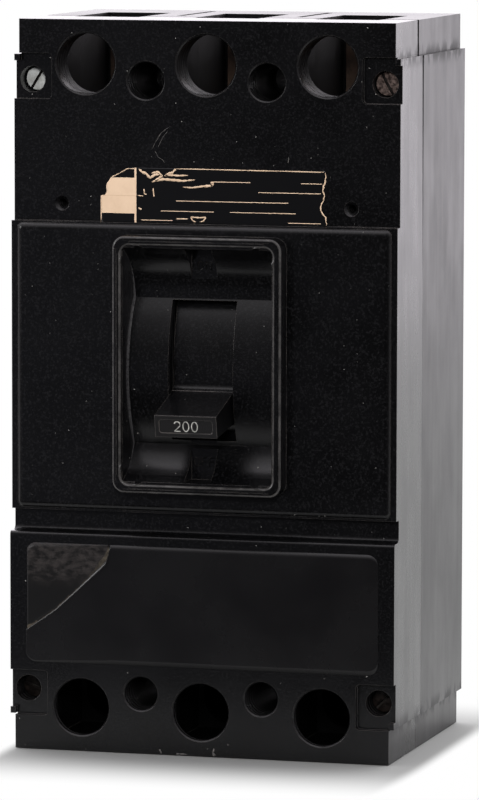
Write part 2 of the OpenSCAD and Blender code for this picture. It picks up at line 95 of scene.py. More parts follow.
lens = bpy.data.cameras.new("camera")
lens.sensor_width = SENSOR
lens.lens = FOCAL_PIXELS / IMAGE_HEIGHT * SENSOR
camera = bpy.data.objects.new("camera", lens)
turn = Matrix.Rotation(radians(CAMERA_TURN), 4, "Z")
tilt = Matrix.Rotation(radians(CAMERA_TILT), 4, "X")
roll = Matrix.Rotation(radians(CAMERA_ROLL), 4, "Z")
camera.matrix_world = Matrix.Translation(CAMERA_PLACE) @ turn @ tilt @ roll
scene = bpy.context.scene
scene.collection.objects.link(camera)
scene.camera = camera
scene.view_settings.view_transform = "Standard"
print("lens of", round(lens.lens, 1), "mm")

# %% [markdown]
# ## Helpers for node trees
# A node is added by its type, its settings and the values or links of its inputs. With that one helper a
# material reads like a list of steps.


# %% Node helpers
def add(tree, kind, inputs=None, **settings):
    """Adds a node, applies its settings, and sets or links each named or numbered input."""
    node = tree.nodes.new(kind)
    for key, value in settings.items():
        setattr(node, key, value)
    for key, value in (inputs or {}).items():
        if isinstance(value, bpy.types.NodeSocket):
            tree.links.new(value, node.inputs[key])
        else:
            node.inputs[key].default_value = value
    return node


def axes(tree, vector):
    """The X, Y and Z outputs of a vector."""
    return add(tree, "ShaderNodeSeparateXYZ", {0: vector}).outputs


def maths(tree, operation, *values):
    """A Math node on one to three numbers or sockets; gives its output socket."""
    return add(tree, "ShaderNodeMath", dict(enumerate(values)), operation=operation).outputs[0]


def times(tree, first, second):
    """Product of two numbers or sockets."""
    return maths(tree, "MULTIPLY", first, second)


def remap(tree, value, low, high, to_low=0.0, to_high=1.0):
    """Maps a value smoothly from one range to another."""
    inputs = {"Value": value, "From Min": low, "From Max": high, "To Min": to_low, "To Max": to_high}
    return add(tree, "ShaderNodeMapRange", inputs, interpolation_type="SMOOTHSTEP").outputs["Result"]


def tint(tree, factor, first, second):
    """Mixes two colours by a factor."""
    return add(tree, "ShaderNodeMix", {0: factor, 6: first, 7: second}, data_type="RGBA").outputs[2]


def scaled(tree, vector, factors):
    """Stretches coordinates by a factor for each axis."""
    return add(tree, "ShaderNodeMapping", {"Vector": vector, "Scale": factors}).outputs["Vector"]


print("node helpers ready")

# %% [markdown]
# ## The studio
# Behind and above the breaker everything is white, and in front the room is dim. The flank and the top
# meet the eye at a glancing angle, so they mirror the white and turn grey or white, while the front
# mirrors the dim room and stays black. The world is white for the camera, and gives that gradient to all
# other rays.

# %% World
BACK_LEVEL = 2.2
FRONT_LEVEL = 0.022
RISE = 2.0
LEFT_LEAN = -0.12
BACK_LEAN = 0.8
UP_LEAN = 0.6
DIM_LEAN = -0.9
WHITE_LEAN = 0.85
ROOM_COLOUR = (1.0, 0.955, 1.01, 1.0)

world = bpy.data.worlds.new("studio")
world.use_nodes = True
scene.world = world
tree = world.node_tree
tree.nodes.clear()
direction = add(tree, "ShaderNodeTexCoord").outputs["Generated"]
bright_way = {0: direction, 1: (LEFT_LEAN, BACK_LEAN, UP_LEAN)}
leaning = add(tree, "ShaderNodeVectorMath", bright_way, operation="DOT_PRODUCT").outputs["Value"]
span = {"Value": leaning, "From Min": DIM_LEAN, "From Max": WHITE_LEAN}
share = add(tree, "ShaderNodeMapRange", span).outputs["Result"]
rise = maths(tree, "POWER", share, RISE)
glow = maths(tree, "MULTIPLY_ADD", rise, BACK_LEVEL - FRONT_LEVEL, FRONT_LEVEL)
room = add(tree, "ShaderNodeBackground", {"Color": ROOM_COLOUR, "Strength": glow})
white = add(tree, "ShaderNodeBackground", {"Color": (1.0, 1.0, 1.0, 1.0), "Strength": 1.0})
seen = add(tree, "ShaderNodeLightPath").outputs["Is Camera Ray"]
chosen = add(tree, "ShaderNodeMixShader", {0: seen, 1: room.outputs[0], 2: white.outputs[0]})
add(tree, "ShaderNodeOutputWorld", {"Surface": chosen.outputs[0]})
print("world from", FRONT_LEVEL, "in front to", BACK_LEVEL, "behind")

# %% [markdown]
# ## Lamps
# The key lamp stands in front, a little to the right and high, and reaches into the wells of the screws.
# It has no mirror image, so the black front stays black. A weak one on the left fills the shadows, a
# large one above draws soft lines on the edges that look up, and a faint glow low on the left is what the
# left half of the front mirrors.


# %% Lamps
def soft_lamp(name, place, target, size, watts, colour=(1.0, 1.0, 1.0)):
    """A square area lamp at a place, aimed at a target."""
    data = bpy.data.lights.new(name, "AREA")
    data.size = size
    data.energy = watts
    data.color = colour
    lamp = bpy.data.objects.new(name, data)
    way = np.array(target) - np.array(place)
    back = -way / np.linalg.norm(way)
    side = np.cross((0.0, 0.0, 1.0), back)
    side = side / np.linalg.norm(side)
    up = np.cross(back, side)
    aim = Matrix(np.column_stack([side, up, back]).tolist()).to_4x4()
    lamp.matrix_world = Matrix.Translation(place) @ aim
    scene.collection.objects.link(lamp)
    return lamp


MIDDLE = (0.0, 0.0, 0.13)
KEY_PLACE = (0.36, -1.45, 0.62)
FILL_PLACE = (-1.0, -0.75, 0.5)
SHEEN_PLACE = (-0.1, -0.75, 1.15)
GLOW_PLACE = (-0.42, -0.85, 0.05)
lamps = [
    soft_lamp("lamp_key", KEY_PLACE, MIDDLE, 0.3, 22.0),
    soft_lamp("lamp_fill", FILL_PLACE, MIDDLE, 0.4, 3.0),
    soft_lamp("lamp_sheen", SHEEN_PLACE, MIDDLE, 0.8, 0.5),
    soft_lamp("lamp_glow", GLOW_PLACE, MIDDLE, 0.34, 0.045, (0.82, 0.84, 1.0)),
]
lamps[0].visible_glossy = False
print("lamps:", [lamp.name for lamp in lamps])

# %% [markdown]
# ## Surfaces from arrays
# A piece is one or more grids of points. Each grid is worked out as whole arrays, and its faces join
# every point to the next one along the row and along the column. Rows that run up and columns that run to
# the right give faces that look to the front.


# %% Surface helpers
def grid_faces(rows, columns, closed, start):
    """Quads of a grid whose points are numbered row by row from start; closed joins the last column to
    the first."""
    index = np.arange(rows * columns).reshape(rows, columns) + start
    if closed:
        index = np.hstack([index, index[:, :1]])
    quads = [index[:-1, :-1], index[:-1, 1:], index[1:, 1:], index[1:, :-1]]
    return np.stack(quads, axis=-1).reshape(-1, 4)


def piece(name, grids, material, body="case", thick=0.0, weld=False):
    """Joins grids of points, each (points, closed), into one mesh that rides on a body. A sheet gets its
    thickness behind its face, and a closed shape has its doubled points welded."""
    points, faces, start = [], [], 0
    for grid, closed in grids:
        rows, columns = grid.shape[:2]
        points.append(grid.reshape(-1, 3))
        faces.append(grid_faces(rows, columns, closed, start))
        start += rows * columns
    mesh = bpy.data.meshes.new(name)
    mesh.from_pydata(np.concatenate(points).tolist(), [], np.concatenate(faces).tolist())
    if weld:
        shape = bmesh.new()
        shape.from_mesh(mesh)
        bmesh.ops.remove_doubles(shape, verts=shape.verts, dist=1e-7)
        bmesh.ops.dissolve_degenerate(shape, edges=shape.edges, dist=1e-8)
        shape.to_mesh(mesh)
        shape.free()
    mesh.polygons.foreach_set("use_smooth", np.ones(len(mesh.polygons), dtype=bool))
    mesh.set_sharp_from_angle(angle=radians(35.0))
    mesh.materials.append(material)
    made = bpy.data.objects.new(name, mesh)
    scene.collection.objects.link(made)
    if thick:
        sheet = made.modifiers.new("thickness", "SOLIDIFY")
        sheet.thickness = thick
        sheet.offset = -1.0
    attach(made, body)
    print(name, "has", len(mesh.polygons), "faces")
    return made


# %% [markdown]
# ## The floor
# The floor is a table top that ends a hand's width in front of the case, so that the front doesn't
# mirror a white floor. It stays matt. Only the world lights it, so the case throws one soft shadow around
# its foot, and light linking keeps the lamps off it. Its own colour is a mid grey, and for the camera it
# fades to plain white with distance from the case, sooner at the sides than in front and centred a little
# to the right: this fade is painted, and it sets where the shadow ends.

# %% Floor
FLOOR_DROP = 0.2 * MM
SHADOW_SHIFT = 5.0 * MM
SIDE_WEIGHT = 9.0
FADE_START = 0.013
FADE_END = 0.075
TABLE_HALF = 1.2
TABLE_FRONT = -0.155
TABLE_BACK = 1.6
FLOOR_COLOUR = (0.46, 0.48, 0.455, 1.0)
FLOOR_PALE = (0.48, 0.5, 0.475, 1.0)

floor_finish = bpy.data.materials.new("table_top")
floor_finish.use_nodes = True
shader = floor_finish.node_tree.nodes["Principled BSDF"]
shader.inputs["Roughness"].default_value = 0.9
shader.inputs["Specular IOR Level"].default_value = 0.1
tree = floor_finish.node_tree
place = add(tree, "ShaderNodeTexCoord").outputs["Object"]
cloud = add(tree, "ShaderNodeTexNoise", {"Vector": place, "Scale": 3.0, "Detail": 2.0}).outputs["Fac"]
tree.links.new(tint(tree, cloud, FLOOR_COLOUR, FLOOR_PALE), shader.inputs["Base Color"])
spot = axes(tree, place)
from_shadow = maths(tree, "SUBTRACT", spot["X"], SHADOW_SHIFT)
beside = maths(tree, "SUBTRACT", maths(tree, "ABSOLUTE", from_shadow), cover_high.x)
ahead = maths(tree, "SUBTRACT", maths(tree, "ABSOLUTE", spot["Y"]), -FACE_Y)
beside = times(tree, maths(tree, "MAXIMUM", beside, 0.0), SIDE_WEIGHT)
ahead = maths(tree, "MAXIMUM", ahead, 0.0)
beside = maths(tree, "POWER", beside, 2.0)
ahead = maths(tree, "POWER", ahead, 2.0)
off_case = maths(tree, "SQRT", maths(tree, "ADD", beside, ahead))
# A painted fade: away from the case the camera sees white, which sets the shadow's edge.
far = remap(tree, off_case, FADE_START, FADE_END)
rays = add(tree, "ShaderNodeLightPath")
backdrop = times(tree, rays.outputs["Is Glossy Ray"], remap(tree, spot["Y"], 0.0, 0.1))
looked_at = maths(tree, "MAXIMUM", rays.outputs["Is Camera Ray"], backdrop)
paper_white = add(tree, "ShaderNodeEmission", {"Color": (1.0, 1.0, 1.0, 1.0), "Strength": 1.0})
fade = times(tree, far, looked_at)
mixed = add(tree, "ShaderNodeMixShader", {0: fade, 1: shader.outputs[0], 2: paper_white.outputs[0]})
tree.links.new(mixed.outputs[0], tree.nodes["Material Output"].inputs["Surface"])
across, along = np.meshgrid(np.linspace(-TABLE_HALF, TABLE_HALF, 3), np.linspace(TABLE_FRONT, TABLE_BACK, 3))
table = np.stack([across, along, np.full_like(across, -FLOOR_DROP)], axis=-1)
floor_mesh = bpy.data.meshes.new("table_top")
floor_mesh.from_pydata(table.reshape(-1, 3).tolist(), [], grid_faces(3, 3, False, 0).tolist())
floor_mesh.materials.append(floor_finish)
floor = bpy.data.objects.new("table_top", floor_mesh)
scene.collection.objects.link(floor)
unlit = bpy.data.collections.new("not_lit_by_lamps")
unlit.objects.link(floor)
unlit.collection_objects[0].light_linking.link_state = "EXCLUDE"
for lamp in lamps:
    lamp.light_linking.receiver_collection = unlit
print("floor made, lit by the world alone")

# %% [markdown]
# ## Shared effects
# Four effects return on many finishes, so each is a node group: dust specks, cloudy mottling, streaks
# that run up and down, and the worn, rounded look of edges. A group takes coordinates and gives masks and
# normals.


# %% Groups
def group(name, inputs, outputs):
    """A new shader node group; gives its tree, its input node and its output node."""
    made = bpy.data.node_groups.new(name, "ShaderNodeTree")
    for label, kind, default in inputs:
        socket = made.interface.new_socket(label, in_out="INPUT", socket_type=kind)
        if default is not None:
            socket.default_value = default
    for label, kind in outputs:
        made.interface.new_socket(label, in_out="OUTPUT", socket_type=kind)
    return made, made.nodes.new("NodeGroupInput"), made.nodes.new("NodeGroupOutput")


FLOAT = "NodeSocketFloat"
VECTOR = "NodeSocketVector"

specks, taken, given = group(
    "dust_specks",
    [("Vector", VECTOR, None), ("Scale", FLOAT, 220.0), ("Share", FLOAT, 0.1)],
    [("Mask", FLOAT)],
)
cells = add(
    specks, "ShaderNodeTexVoronoi", {"Vector": taken.outputs["Vector"], "Scale": taken.outputs["Scale"]}
)
pick = add(specks, "ShaderNodeSeparateColor", {0: cells.outputs["Color"]})
kept = maths(specks, "LESS_THAN", pick.outputs[0], taken.outputs["Share"])
reach = remap(specks, pick.outputs[1], 0.0, 1.0, 0.03, 0.1)
inside = maths(specks, "LESS_THAN", cells.outputs["Distance"], reach)
dust = times(specks, times(specks, kept, inside), pick.outputs[2])
specks.links.new(dust, given.inputs["Mask"])

mottle, taken, given = group(
    "mottling", [("Vector", VECTOR, None), ("Scale", FLOAT, 40.0)], [("Value", FLOAT)]
)
cloud = add(
    mottle,
    "ShaderNodeTexNoise",
    {"Vector": taken.outputs["Vector"], "Scale": taken.outputs["Scale"], "Detail": 6.0, "Roughness": 0.6},
)
mottle.links.new(remap(mottle, cloud.outputs["Fac"], 0.3, 0.7), given.inputs["Value"])

streaks, taken, given = group("streaks", [("Vector", VECTOR, None)], [("Fine", FLOAT), ("Broad", FLOAT)])
for label, stretch in (("Fine", (260.0, 260.0, 12.0)), ("Broad", (60.0, 60.0, 7.0))):
    lines = add(
        streaks,
        "ShaderNodeTexNoise",
        {"Vector": scaled(streaks, taken.outputs["Vector"], stretch), "Scale": 1.0, "Detail": 4.0},
    )
    streaks.links.new(remap(streaks, lines.outputs["Fac"], 0.3, 0.72), given.inputs[label])

edges, taken, given = group(
    "worn_edges",
    [("Vector", VECTOR, None), ("Radius", FLOAT, 0.5 * MM)],
    [("Mask", FLOAT), ("Normal", VECTOR)],
)
rounded = add(edges, "ShaderNodeBevel", {"Radius": taken.outputs["Radius"]}, samples=6)
flat = add(edges, "ShaderNodeNewGeometry").outputs["Normal"]
likeness = add(edges, "ShaderNodeVectorMath", {0: rounded.outputs[0], 1: flat}, operation="DOT_PRODUCT")
turned = remap(edges, maths(edges, "SUBTRACT", 1.0, likeness.outputs["Value"]), 0.01, 0.2)
patchy = add(edges, "ShaderNodeTexNoise", {"Vector": taken.outputs["Vector"], "Scale": 120.0, "Detail": 5.0})
patches = remap(edges, patchy.outputs["Fac"], 0.3, 0.6)
edges.links.new(times(edges, turned, patches), given.inputs["Mask"])
edges.links.new(rounded.outputs[0], given.inputs["Normal"])
print("groups:", [g.name for g in bpy.data.node_groups])

# %% [markdown]
# ## Black phenolic
# Phenolic moulding is nearly black with a dull shine. Years of handling leave cloudy patches, pale dust
# and a brownish wear along the edges. Faces that look sideways take a paler grey in streaks that run along
# the case. Deep in holes and chambers the colour is painted near black, a painted shade, and tool marks
# there are painted pale, as painted highlight lines.


# %% Phenolic
def use(tree, effect, **inputs):
    """Places a shared effect in a material, with its own values or links."""
    return add(tree, "ShaderNodeGroup", inputs, node_tree=effect)


def new_material(name):
    """A material with its tree, its Principled shader and its object coordinates."""
    made = bpy.data.materials.new(name)
    made.use_nodes = True
    tree = made.node_tree
    place = add(tree, "ShaderNodeTexCoord").outputs["Object"]
    return made, tree, tree.nodes["Principled BSDF"], place


# Faces that look sideways are tinted towards this paler grey in streaks.
SIDE_STREAK_GREY = (0.03, 0.029, 0.031, 1.0)
STEP_LENGTH = 12.35 * MM
GRAIN_GREY = (0.0065, 0.0064, 0.007, 1.0)
WORN_GREY = (0.1, 0.088, 0.08, 1.0)
DUST_PALE = (0.26, 0.25, 0.235, 1.0)
# Deep in holes and chambers the colour is painted towards this near black: painted shade.
HOLE_SHADE_BLACK = (0.0008, 0.0008, 0.0008, 1.0)
# The tool marks in the holes are painted this paler grey: painted highlight lines.
RIDGE_HIGHLIGHT_GREY = (0.03, 0.029, 0.03, 1.0)
RIDGE_STEP = 2.6 * MM
LOAD_TOP_Z = 77.2 * MM
SKIN = 1.0 * MM
HOLE_SIDE = 67.5 * MM
HOLE_TOP = 255.0 * MM
GRIME_REACH = 5.0 * MM
SIDE_STREAK_SHARE = 0.5
WEAR_SHARE = 0.7
GRIT_SHARE = 0.14
HOLE_SHADE_SHARE = 0.9
CLOUD_ROUGH = 0.03
SMUDGE_ROUGH = 0.06
STREAK_ROUGH = 0.03
GRIME_ROUGH = 0.16
HOLE_ROUGH = 0.3


def behind_front(tree, place):
    """How far a point lies behind the face in front of it, and a mask that leaves out the flanks and the
    ends. The face is the raised one below the band and the plain one above it."""
    spot = axes(tree, place)
    raised = maths(tree, "LESS_THAN", spot["Z"], LOAD_TOP_Z)
    behind = maths(tree, "SUBTRACT", spot["Y"], FACE_Y)
    behind = maths(tree, "MULTIPLY_ADD", raised, LOAD_PROUD, behind)
    inner = maths(tree, "LESS_THAN", maths(tree, "ABSOLUTE", spot["X"]), HOLE_SIDE)
    inner = times(tree, inner, maths(tree, "LESS_THAN", spot["Z"], HOLE_TOP))
    inner = times(tree, inner, maths(tree, "GREATER_THAN", spot["Z"], SKIN))
    return behind, inner


def ridges(tree, behind):
    """Mask of the fine tool marks that ring the first millimetres of a hole: thin lines at even depths. The
    finish paints them pale, as painted highlight lines."""
    phase = maths(tree, "FRACT", maths(tree, "DIVIDE", behind, RIDGE_STEP))
    line = maths(tree, "GREATER_THAN", phase, 0.7)
    line = times(tree, line, maths(tree, "GREATER_THAN", behind, 0.5 * SKIN))
    return times(tree, line, remap(tree, behind, 14 * SKIN, 8 * SKIN))


def step_grime(tree, place):
    """Mask of dull grime on the flanks: stains that gather within 5 mm of the steps at both ends."""
    stains = use(tree, mottle, Vector=scaled(tree, place, (1.0, 1.0, 0.6)), Scale=150.0).outputs["Value"]
    height = axes(tree, place)["Z"]
    from_middle = maths(tree, "ABSOLUTE", maths(tree, "SUBTRACT", height, cover_high.z / 2))
    from_step = maths(tree, "ABSOLUTE", maths(tree, "SUBTRACT", from_middle, cover_high.z / 2 - STEP_LENGTH))
    return times(tree, remap(tree, from_step, GRIME_REACH, 0.0), remap(tree, stains, 0.3, 0.7))


def phenolic(name, dark, pale, rough, edge_radius, rub_and_highlight=None, rub_and_highlight_grey=None, side_streaked=1.0):
    """Black moulding: mottled colour, grain, dust and worn edges. Deep in holes the colour is painted near
    black as painted shade, with painted highlight lines on the tool marks, and faces that look sideways take
    a paler streaked grey."""
    made, tree, shader, place = new_material(name)
    clouds = use(tree, mottle, Vector=place, Scale=38.0).outputs["Value"]
    grain = use(tree, mottle, Vector=place, Scale=1300.0).outputs["Value"]
    dots = use(tree, specks, Vector=place, Scale=450.0, Share=0.22).outputs["Mask"]
    grit = use(tree, specks, Vector=place, Scale=1500.0, Share=0.5).outputs["Mask"]
    lines = use(tree, streaks, Vector=place)
    facing = axes(tree, add(tree, "ShaderNodeNewGeometry").outputs["Normal"])
    sideways = remap(tree, maths(tree, "ABSOLUTE", facing["X"]), 0.8, 0.98)
    wall = maths(tree, "LESS_THAN", maths(tree, "ABSOLUTE", facing["Y"]), 0.3)
    behind, inner = behind_front(tree, place)
    # Faces that look sideways take a paler grey, in broad streaks.
    film = times(tree, sideways, lines.outputs["Broad"])
    colour = tint(tree, clouds, dark, pale)
    colour = tint(tree, remap(tree, grain, 0.5, 1.0), colour, GRAIN_GREY)
    colour = tint(tree, times(tree, film, SIDE_STREAK_SHARE * side_streaked), colour, SIDE_STREAK_GREY)
    # The given mask paints places pale: wear, and on the rim also a painted highlight along its edges.
    if rub_and_highlight:
        colour = tint(tree, rub_and_highlight(tree, place), colour, rub_and_highlight_grey)
    height = add(tree, "ShaderNodeTexNoise", {"Vector": place, "Scale": 900.0, "Detail": 3.0}).outputs["Fac"]
    bump_inputs = {"Height": height, "Strength": 0.06, "Distance": 0.2 * MM}
    # Painted shade: deeper than a few millimetres behind the front, the colour is painted near black.
    deep_shade = times(tree, remap(tree, behind, 2 * SKIN, 6 * SKIN), inner)
    colour = tint(tree, times(tree, deep_shade, HOLE_SHADE_SHARE), colour, HOLE_SHADE_BLACK)
    # Painted highlight: tool-mark lines on the hole walls are painted pale.
    marks = times(tree, times(tree, ridges(tree, behind), wall), inner)
    colour = tint(tree, marks, colour, RIDGE_HIGHLIGHT_GREY)
    if edge_radius:
        worn = use(tree, edges, Vector=place, Radius=edge_radius)
        colour = tint(tree, times(tree, worn.outputs["Mask"], WEAR_SHARE), colour, WORN_GREY)
        bump_inputs["Normal"] = worn.outputs["Normal"]
    colour = tint(tree, maths(tree, "MAXIMUM", dots, times(tree, grit, GRIT_SHARE)), colour, DUST_PALE)
    smudges = use(tree, mottle, Vector=scaled(tree, place, (1.0, 1.0, 0.35)), Scale=70.0).outputs["Value"]
    streaky = times(tree, lines.outputs["Fine"], STREAK_ROUGH)
    streaky = maths(tree, "MULTIPLY_ADD", smudges, SMUDGE_ROUGH, streaky)
    streaky = maths(tree, "MULTIPLY_ADD", step_grime(tree, place), GRIME_ROUGH, streaky)
    streaky = times(tree, streaky, sideways)
    roughness = maths(tree, "ADD", remap(tree, clouds, 0.0, 1.0, rough, rough + CLOUD_ROUGH), streaky)
    dull = times(tree, deep_shade, maths(tree, "SUBTRACT", 1.0, marks))
    roughness = maths(tree, "MULTIPLY_ADD", dull, HOLE_ROUGH, roughness)
    tree.links.new(colour, shader.inputs["Base Color"])
    tree.links.new(roughness, shader.inputs["Roughness"])
    tree.links.new(add(tree, "ShaderNodeBump", bump_inputs).outputs["Normal"], shader.inputs["Normal"])
    return made


WELL_Z = 137.7
RIM_W = 61.2
RIM_H = 90.0
RIM_R = 4.4
RIM_T = 3.3
WELL_R = 3.0
ROUND_R = 1.1
# The rim's two rounded edges are painted this pale grey: partly wear, partly painted highlight lines.
RIM_HIGHLIGHT_GREY = (0.06, 0.057, 0.055, 1.0)
TIP_GREY = (0.0125, 0.0122, 0.0125, 1.0)
TIP_START = 76.9 * MM
TIP_END = 77.3 * MM
# The fillets' colours are far paler than the cover's: a painted highlight line.
FILLET_HIGHLIGHT_DARK = (0.022, 0.021, 0.022, 1.0)
FILLET_HIGHLIGHT_PALE = (0.05, 0.048, 0.049, 1.0)
COVER_DARK = (0.0009, 0.0009, 0.001, 1.0)
COVER_PALE = (0.0021, 0.0021, 0.0024, 1.0)
pivot = np.array(frame["joints"][0]["pos_m"])


def off_outline(tree, place, half_w, half_h, corner):
    """Distance outside a rounded rectangle around the handle well: how far the point lies past the
    centres of the corners, as one length, less the corner's radius."""
    spot = axes(tree, place)
    above = maths(tree, "SUBTRACT", spot["Z"], WELL_Z * MM)
    past_x = maths(tree, "SUBTRACT", maths(tree, "ABSOLUTE", spot["X"]), (half_w - corner) * MM)
    past_z = maths(tree, "SUBTRACT", maths(tree, "ABSOLUTE", above), (half_h - corner) * MM)
    past_x = maths(tree, "POWER", maths(tree, "MAXIMUM", past_x, 0.0), 2.0)
    past_z = maths(tree, "POWER", maths(tree, "MAXIMUM", past_z, 0.0), 2.0)
    return maths(tree, "SUBTRACT", maths(tree, "SQRT", maths(tree, "ADD", past_x, past_z)), corner * MM)


def rim_rub_and_highlight(tree, place):
    """Mask of the two rounded edges of the rim, which are painted pale: partly wear from hands, partly a
    painted highlight. A band inside the rim's outline and one outside the well's, both only near the rim's
    front."""
    inside = off_outline(tree, place, RIM_W / 2, RIM_H / 2, RIM_R)
    outside = off_outline(tree, place, RIM_W / 2 - RIM_T, RIM_H / 2 - RIM_T, WELL_R)
    outer = times(tree, remap(tree, inside, -1.0 * MM, -0.6 * MM), remap(tree, inside, 0.0, -0.3 * MM))
    inner = times(tree, remap(tree, outside, 1.0 * MM, 0.6 * MM), remap(tree, outside, 0.0, 0.2 * MM))
    depth = maths(tree, "SUBTRACT", axes(tree, place)["Y"], cover_low.y)
    front = maths(tree, "LESS_THAN", depth, ROUND_R * MM)
    patches = use(tree, mottle, Vector=place, Scale=200.0).outputs["Value"]
    band = times(tree, maths(tree, "MAXIMUM", outer, inner), front)
    return times(tree, band, remap(tree, patches, 0.0, 1.0, 0.4, 1.0))


def tip_rub(tree, place):
    """Mask of the handle's tip: the points that lie furthest from the pivot's axis."""
    arm = add(tree, "ShaderNodeVectorMath", {0: place, 1: tuple(pivot)}, operation="SUBTRACT").outputs[0]
    arm = scaled(tree, arm, (0.0, 1.0, 1.0))
    reach = add(tree, "ShaderNodeVectorMath", {0: arm}, operation="LENGTH").outputs["Value"]
    return remap(tree, reach, TIP_START, TIP_END)


# The cover's rim edges get painted highlight lines together with their wear.
cover_black = phenolic("cover_black", COVER_DARK, COVER_PALE, 0.22, 0.25 * MM, rim_rub_and_highlight, RIM_HIGHLIGHT_GREY)
base_black = phenolic("base_black", COVER_DARK, COVER_PALE, 0.31, 0.0)
handle_black = phenolic("handle_black", COVER_DARK, COVER_PALE, 0.24, 0.45 * MM, tip_rub, TIP_GREY, 0.0)
# The fillets' finish is painted pale, as a painted highlight.
fillet_highlight = phenolic("fillet_highlight", FILLET_HIGHLIGHT_DARK, FILLET_HIGHLIGHT_PALE, 0.3, 0.0)
print("phenolic finishes ready")

# %% [markdown]
# ## Metals
# One cover screw is still bright zinc, and the others have rusted. The terminals are tarnished copper. A
# metal here is a Principled shader with a mottled colour, and roughness that follows the tarnish.


# %% Metals
def metal(name, clean, tarnish, rough, metallic, scale):
    """Metal with a mottled tarnish that also changes its roughness."""
    made, tree, shader, place = new_material(name)
    shader.inputs["Metallic"].default_value = metallic
    clouds = use(tree, mottle, Vector=place, Scale=scale).outputs["Value"]
    tree.links.new(tint(tree, clouds, clean, tarnish), shader.inputs["Base Color"])
    tree.links.new(remap(tree, clouds, 0.0, 1.0, rough, rough + 0.25), shader.inputs["Roughness"])
    pits = add(tree, "ShaderNodeTexNoise", {"Vector": place, "Scale": 4 * scale, "Detail": 4.0})
    relief = {"Height": pits.outputs["Fac"], "Strength": 0.25, "Distance": 0.1 * MM}
    tree.links.new(add(tree, "ShaderNodeBump", relief).outputs["Normal"], shader.inputs["Normal"])
    return made


bright_zinc = metal("bright_zinc", (0.8, 0.82, 0.8, 1.0), (0.5, 0.5, 0.47, 1.0), 0.45, 0.5, 300.0)
rusty_steel = metal("rusty_steel", (0.17, 0.125, 0.11, 1.0), (0.012, 0.008, 0.007, 1.0), 0.5, 0.4, 800.0)
dark_steel = metal("dark_steel", (0.014, 0.01, 0.0085, 1.0), (0.0026, 0.0021, 0.0018, 1.0), 0.5, 0.4, 600.0)
# The faces inside each screw's slot take this near-black finish.
slot_near_black = metal("slot_near_black", (0.02, 0.018, 0.016, 1.0), (0.006, 0.005, 0.005, 1.0), 0.7, 0.2, 420.0)
grey_steel = metal("grey_steel", (0.4, 0.38, 0.36, 1.0), (0.16, 0.13, 0.1, 1.0), 0.45, 0.9, 300.0)
tarnished_copper = metal(
    "tarnished_copper", (0.2, 0.135, 0.1, 1.0), (0.06, 0.045, 0.037, 1.0), 0.4, 0.8, 160.0
)
print("metals ready")

# %% [markdown]
# ## Finishes of the solids
# Each CAD node takes one of these finishes by its name.

# %% Dress the CAD nodes
FINISHES = {
    "cover": cover_black,
    "toggle_handle": handle_black,
    "pivot_pin": grey_steel,
    "base": base_black,
    "line_end_walls": base_black,
    "load_end_walls": base_black,
}
for name, node in nodes.items():
    finish = FINISHES.get(name)
    if "shield" in name:
        finish = base_black
    elif "terminal" in name:
        finish = tarnished_copper
    elif "fixing_screw" in name:
        finish = grey_steel
    elif "cover_screw" in name:
        finish = rusty_steel
    node.data.materials.clear()
    node.data.materials.append(finish)
print("nodes dressed:", len(nodes))

# %% [markdown]
# ## Cover screws
# Each corner pocket holds a slotted pan-head screw. A slot with straight sides needs grid lines along its
# edges, so the head's grid runs across the slot in x and fills the circle in y. The heads are domed, and
# the outline of the grid is carried down as a skirt, in under the head and along the shank.

# %% Cover screws
HEAD_R = 4.1 * MM
HEAD_H = {"top_left": 2.8, "top_right": 5.5, "bottom_left": 2.8, "bottom_right": 2.8}
HEAD_EDGE = 0.3 * MM
DOME = 0.2 * MM
SHANK_R = 2.1 * MM
SLOT_W = 1.0 * MM
SLOT_D = 1.3 * MM
SLOT_TURN = {"top_left": 58.0, "top_right": 118.0, "bottom_left": -20.0, "bottom_right": 45.0}
SCREW_FINISH = {
    "top_left": (bright_zinc, "zinc_plate"),
    "top_right": (rusty_steel, "rusty_steel"),
    "bottom_left": (dark_steel, "rusty_steel"),
    "bottom_right": (dark_steel, "rusty_steel"),
}


def screw_grids(length, head_h):
    """Head, skirt and shank of a screw along +depth. The top is a disc: x' runs across the slot, y' is v
    times the half chord at x', and the height is a parabola of the radius that drops by the slot's depth
    inside it."""
    top_r = HEAD_R - HEAD_EDGE
    half = SLOT_W / 2
    side = top_r * np.sin(np.linspace(np.arcsin(half / top_r), radians(86.0), 9))
    across = np.concatenate([-side[::-1], [-half + 0.02 * MM, half - 0.02 * MM], side])
    share = np.linspace(-1.0, 1.0, 15)
    across, share = np.meshgrid(across, share)
    along = share * np.sqrt(top_r**2 - across**2)
    radius = np.hypot(across, along)
    depth = DOME * (radius / top_r) ** 2
    depth = np.where(np.abs(across) < half, SLOT_D, depth)
    top = np.stack([across, along, depth], axis=-1)
    ring = np.concatenate([top[0, :-1], top[:-1, -1], top[-1, :0:-1], top[:0:-1, 0]])
    ring_r = np.hypot(ring[:, 0], ring[:, 1])
    unit = ring[:, :2] / ring_r[:, None]
    bend = np.radians([30.0, 60.0, 90.0])
    steps = [(top_r + HEAD_EDGE * np.sin(b), DOME + HEAD_EDGE * (1 - np.cos(b))) for b in bend]
    steps += [(HEAD_R, head_h), (SHANK_R, head_h), (SHANK_R, length), (0.0, length)]
    rows = [ring]
    for r, d in steps:
        down = np.maximum(ring[:, 2], d) if d < head_h else np.full(len(ring), d)
        rows.append(np.column_stack([unit * r, down]))
    return [(top, False), (np.stack(rows)[::-1], True)]


